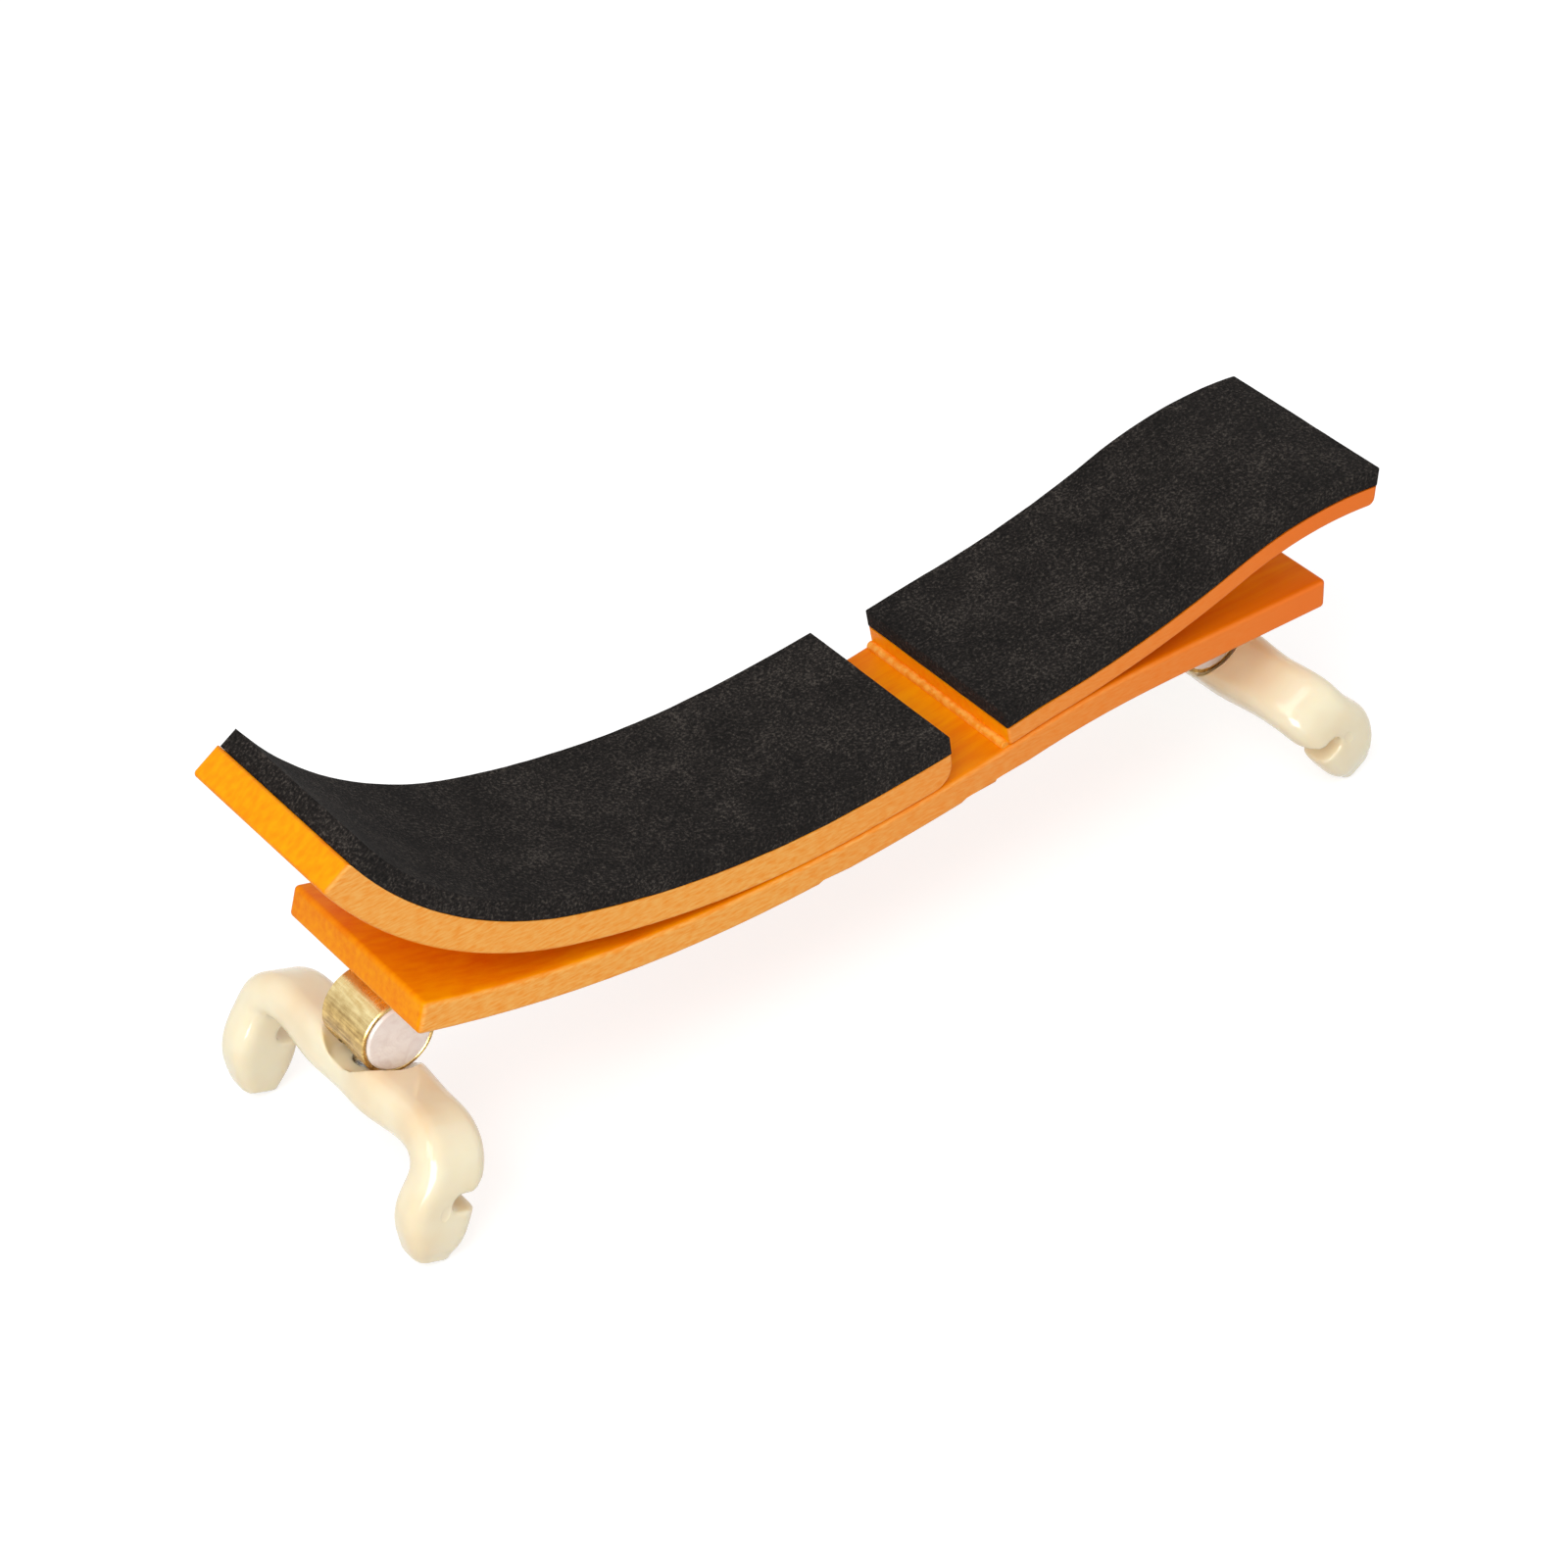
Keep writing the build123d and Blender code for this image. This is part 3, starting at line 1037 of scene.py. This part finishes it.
@dataclass
class MouldedFork:
    """Moulded fork: the CAD fork's sizes, with the soft edges, full claws and gate marks of a casting."""

    end: End
    grid: float = 0.42
    softening: int = 14
    sole_kept: float = 0.8
    hub_kept: float = 3.8
    kept_fade: float = 2.0
    swell: float = 1.0
    swell_reach: float = 11.0
    swell_height: float = 10.0
    swell_patch: float = 1.0
    swell_skin: float = 0.5
    claw_offset: float = 30.8
    gate_length: float = 1.8
    gate_width: float = 1.1
    gate_depth: float = 0.22
    gate_height: float = 12.0
    gate_outward: float = 2.5
    gate_patch: float = 0.6
    smooth_to: float = 50.0

    def directions(self) -> tuple:
        """Find the fork's own directions.

        Returns:
            Trunnion's middle, the way down the leg and the way outwards from the violin.
        """
        place, down = leg_line(self.end)
        outward = Vector((0.0, 1.0, 0.0)).cross(down)
        if self.end is End.CHEST:
            outward.negate()
        return place, down, outward

    def measured(self, fork: bpy.types.Object) -> list:
        """Measure each vertex: height over the sole, distance from the leg's axis, reach outwards and Y.

        Args:
            fork: The fork's object.

        Returns:
            Those four in millimetres, in the vertices' order.
        """
        place, down, outward = self.directions()
        sole = max((v.co - place).dot(down) for v in fork.data.vertices)
        rows = []
        for v in fork.data.vertices:
            from_place = v.co - place
            along = from_place.dot(down)
            off_axis = (from_place - down * along).length
            rows.append(((sole - along) / MM, off_axis / MM, from_place.dot(outward) / MM, v.co.y / MM))
        return rows

    def fill_out(self, fork: bpy.types.Object) -> None:
        """Swell both claws' outer faces, as the casting's are.

        Args:
            fork: The fork's object.
        """
        outward = self.directions()[2]
        for side in (-1, 1):
            rows = self.measured(fork)
            spot = [
                i
                for i, (height, _, _, y) in enumerate(rows)
                if abs(y - side * self.claw_offset) < self.swell_patch
                and abs(height - self.swell_height) < self.swell_patch
            ]
            outermost = max(rows[i][2] for i in spot)
            select_only(fork)
            bpy.ops.object.mode_set(mode="EDIT")
            bpy.ops.mesh.select_all(action="DESELECT")
            bpy.ops.object.mode_set(mode="OBJECT")
            for i in spot:
                fork.data.vertices[i].select = rows[i][2] > outermost - self.swell_skin
            bpy.ops.object.mode_set(mode="EDIT")
            bpy.ops.transform.translate(
                value=outward * self.swell * MM,
                use_proportional_edit=True,
                proportional_edit_falloff="SMOOTH",
                proportional_size=self.swell_reach * MM,
            )
            bpy.ops.object.mode_set(mode="OBJECT")

    def soften_edges(self, fork: bpy.types.Object) -> None:
        """Round the casting's edges, but keep the soles and the stem's socket as they are.

        Args:
            fork: The fork's object.
        """
        soft = fork.vertex_groups.new(name="soft")
        for i, (height, off_axis, _, _) in enumerate(self.measured(fork)):
            at_sole = (height - self.sole_kept) / self.kept_fade
            at_hub = (off_axis - self.hub_kept) / self.kept_fade
            soft.add([i], max(0.0, min(1.0, at_sole, at_hub)), "REPLACE")
        work(fork, "soften", "SMOOTH", iterations=self.softening, vertex_group=soft.name)

    def mark_gates(self, fork: bpy.types.Object) -> None:
        """Sink the small oval left by the mould's gate into each claw's end face.

        Args:
            fork: The fork's object.
        """
        down, outward = self.directions()[1:]
        for side in (-1, 1):
            rows = self.measured(fork)
            near = [
                i
                for i, (height, _, reach, y) in enumerate(rows)
                if abs(height - self.gate_height) < self.gate_patch
                and abs(reach - self.gate_outward) < self.gate_patch
                and y * side > 0
            ]
            place = fork.data.vertices[max(near, key=lambda i: rows[i][3] * side)].co.copy()
            select_none()
            bpy.ops.mesh.primitive_uv_sphere_add(segments=32, ring_count=16, radius=MM, location=place)
            dimple = bpy.context.object
            dimple.scale = (self.gate_width, self.gate_depth, self.gate_length)
            dimple.rotation_euler = Matrix((outward, down.cross(outward), down)).transposed().to_euler()
            bpy.ops.object.transform_apply(location=False, rotation=True, scale=True)
            select_only(fork)
            work(fork, "gate", "BOOLEAN", operation="DIFFERENCE", object=dimple)
            bpy.data.objects.remove(dimple)

    def build(self, material: bpy.types.Material) -> None:
        """Model the fork over its CAD solid.

        Args:
            material: The plastic.
        """
        name = self.end.value
        fork = copy_of(f"{name}_fork")
        work(fork, "skin", "REMESH", mode="VOXEL", voxel_size=self.grid * MM)
        self.fill_out(fork)
        self.soften_edges(fork)
        self.mark_gates(fork)
        settle(fork, f"{name}_moulded_fork", material, self.smooth_to)
        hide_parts(f"{name}_fork")
        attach(fork, f"{name}_foot")


@dataclass
class Leg:
    """One folding leg: barrel, screws, trunnion, threaded stem and moulded fork."""

    end: End

    def axis(self) -> tuple:
        """Middle of the trunnion, in metres."""
        low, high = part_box(f"{self.end.value}_trunnion")
        return tuple((a + b) / 2 for a, b in zip(low, high))

    def build(
        self, brass: bpy.types.Material, plastic: bpy.types.Material, steel: bpy.types.Material
    ) -> None:
        """Dress the leg's CAD pieces and model its fork and stem.

        Args:
            brass: Finish of the barrel.
            plastic: Finish of the fork.
            steel: Finish of the screws and the stem.
        """
        name = self.end.value
        dress(f"{name}_barrel", brass)
        dress(f"{name}_barrel_screws", steel)
        dress(f"{name}_trunnion", TurnedNylon(self.axis()).material(name))
        MouldedFork(self.end).build(plastic)
        ThreadedStem(self.end).build(steel)


@dataclass(frozen=True)
class Softbox:
    """Square softbox, in metres and watts, which may leave matt surfaces alone and only show in gloss."""

    name: str
    place: tuple
    size: float
    power: float
    lights_matt: bool = True

    def hang(self, aim: tuple) -> None:
        """Hang the softbox so that it faces a point.

        Args:
            aim: The point, in metres.
        """
        select_none()
        bpy.ops.object.light_add(type="AREA", location=self.place)
        lamp = bpy.context.object
        lamp.name = self.name
        lamp.data.size = self.size
        lamp.data.energy = self.power
        lamp.visible_diffuse = self.lights_matt
        lamp.rotation_euler = (Vector(self.place) - Vector(aim)).to_track_quat("Z", "Y").to_euler()


@dataclass
class Studio:
    """Pale floor, soft daylight from all round, three softboxes and the camera."""

    camera_place: tuple = (-0.4108, -0.5793, 0.5937)
    camera_ahead: tuple = (0.4467, 0.6465, -0.6184)
    camera_right: tuple = (0.8009, -0.5971, -0.0456)
    camera_reach: float = 20.0
    lens: float = 104.96
    sensor: float = 36.0
    floor_size: float = 6.0
    floor_paper: str = "C0C0C0"
    floor_lift: float = 0.66
    white: str = "FFFFFF"
    sky: float = 0.66
    aim: tuple = (0.0, 0.0, 0.03)
    # The last one shows only in glossy surfaces, as the crisp highlights on brass and moulded plastic.
    softboxes: tuple = (
        Softbox("key_softbox", (-0.9, -0.5, 1.3), 0.9, 9.0),
        Softbox("fill_softbox", (-0.75, -0.95, 0.35), 0.9, 3.6),
        Softbox("shine_softbox", (-0.8, -1.0, 0.4), 0.7, 16.0, lights_matt=False),
    )

    def build(self) -> None:
        """Set up the floor, the light and the camera."""
        self.floor()
        self.world()
        for softbox in self.softboxes:
            softbox.hang(self.aim)
        self.camera()
        bpy.context.scene.view_settings.view_transform = "Standard"

    def plainly_seen(self, owner: bpy.types.ID) -> bpy.types.NodeSocket:
        """Tell the rays that see the background from those that light the scene.

        Args:
            owner: The floor's material, or the world.

        Returns:
            A socket that is 1 for camera, glossy and transmission rays, and 0 for the rest.
        """
        rays = add_node(owner, "ShaderNodeLightPath", {}).outputs
        seen = rays["Is Camera Ray"]
        for ray in ("Is Glossy Ray", "Is Transmission Ray"):
            either = add_node(owner, "ShaderNodeMath", {0: seen, 1: rays[ray]}, operation="MAXIMUM")
            seen = either.outputs["Value"]
        return seen

    def floor(self) -> None:
        """Lay a pale floor that shows white to the camera and keeps the shadow."""
        select_none()
        bpy.ops.mesh.primitive_plane_add(size=self.floor_size, location=(0, 0, 0))
        floor = bpy.context.object
        floor.name = "floor"
        material = new_material("white_paper_floor")
        paper = add_node(material, "ShaderNodeBsdfDiffuse", {"Color": linear(self.floor_paper)})
        lift = add_node(
            material,
            "ShaderNodeMath",
            {0: self.plainly_seen(material), 1: self.floor_lift},
            operation="MULTIPLY",
        )
        glow = add_node(
            material,
            "ShaderNodeEmission",
            {"Color": linear(self.white), "Strength": lift.outputs["Value"]},
        )
        both = add_node(
            material,
            "ShaderNodeAddShader",
            {0: paper.outputs["BSDF"], 1: glow.outputs["Emission"]},
        )
        add_node(material, "ShaderNodeOutputMaterial", {"Surface": both.outputs["Shader"]})
        floor.data.materials.append(material)

    def world(self) -> None:
        """Light the scene evenly from all round, with white where the camera or a mirror looks."""
        world = bpy.data.worlds.new("white_studio")
        world.use_nodes = True
        world.node_tree.nodes.clear()
        strength = add_node(
            world,
            "ShaderNodeMapRange",
            {"Value": self.plainly_seen(world), "To Min": self.sky, "To Max": 1.0},
        )
        sky = add_node(
            world,
            "ShaderNodeBackground",
            {"Color": linear(self.white), "Strength": strength.outputs["Result"]},
        )
        add_node(world, "ShaderNodeOutputWorld", {"Surface": sky.outputs["Background"]})
        bpy.context.scene.world = world

    def camera(self) -> None:
        """Place the camera."""
        select_none()
        bpy.ops.object.camera_add()
        camera = bpy.context.object
        ahead = Vector(self.camera_ahead).normalized()
        right = Vector(self.camera_right)
        right = (right - ahead * right.dot(ahead)).normalized()
        turned = Matrix((right, right.cross(ahead), -ahead)).transposed().to_4x4()
        camera.matrix_world = Matrix.Translation(self.camera_place) @ turned
        camera.data.sensor_width = self.sensor
        camera.data.lens = self.lens
        camera.data.clip_end = self.camera_reach
        bpy.context.scene.camera = camera


def main() -> None:
    """Build every sub-assembly in order."""
    logging.basicConfig(level=logging.INFO)
    Woodwork().build()
    GlueLine().build()
    foam = ClosedCellFoam().material()
    brass = SatinBrass().material()
    plastic = MouldedPlastic().material()
    steel = PlatedSteel().material()
    for end in End:
        FoamPad(end).build(foam)
        Leg(end).build(brass, plastic, steel)
    Studio().build()


if __name__ == "__main__":
    main()
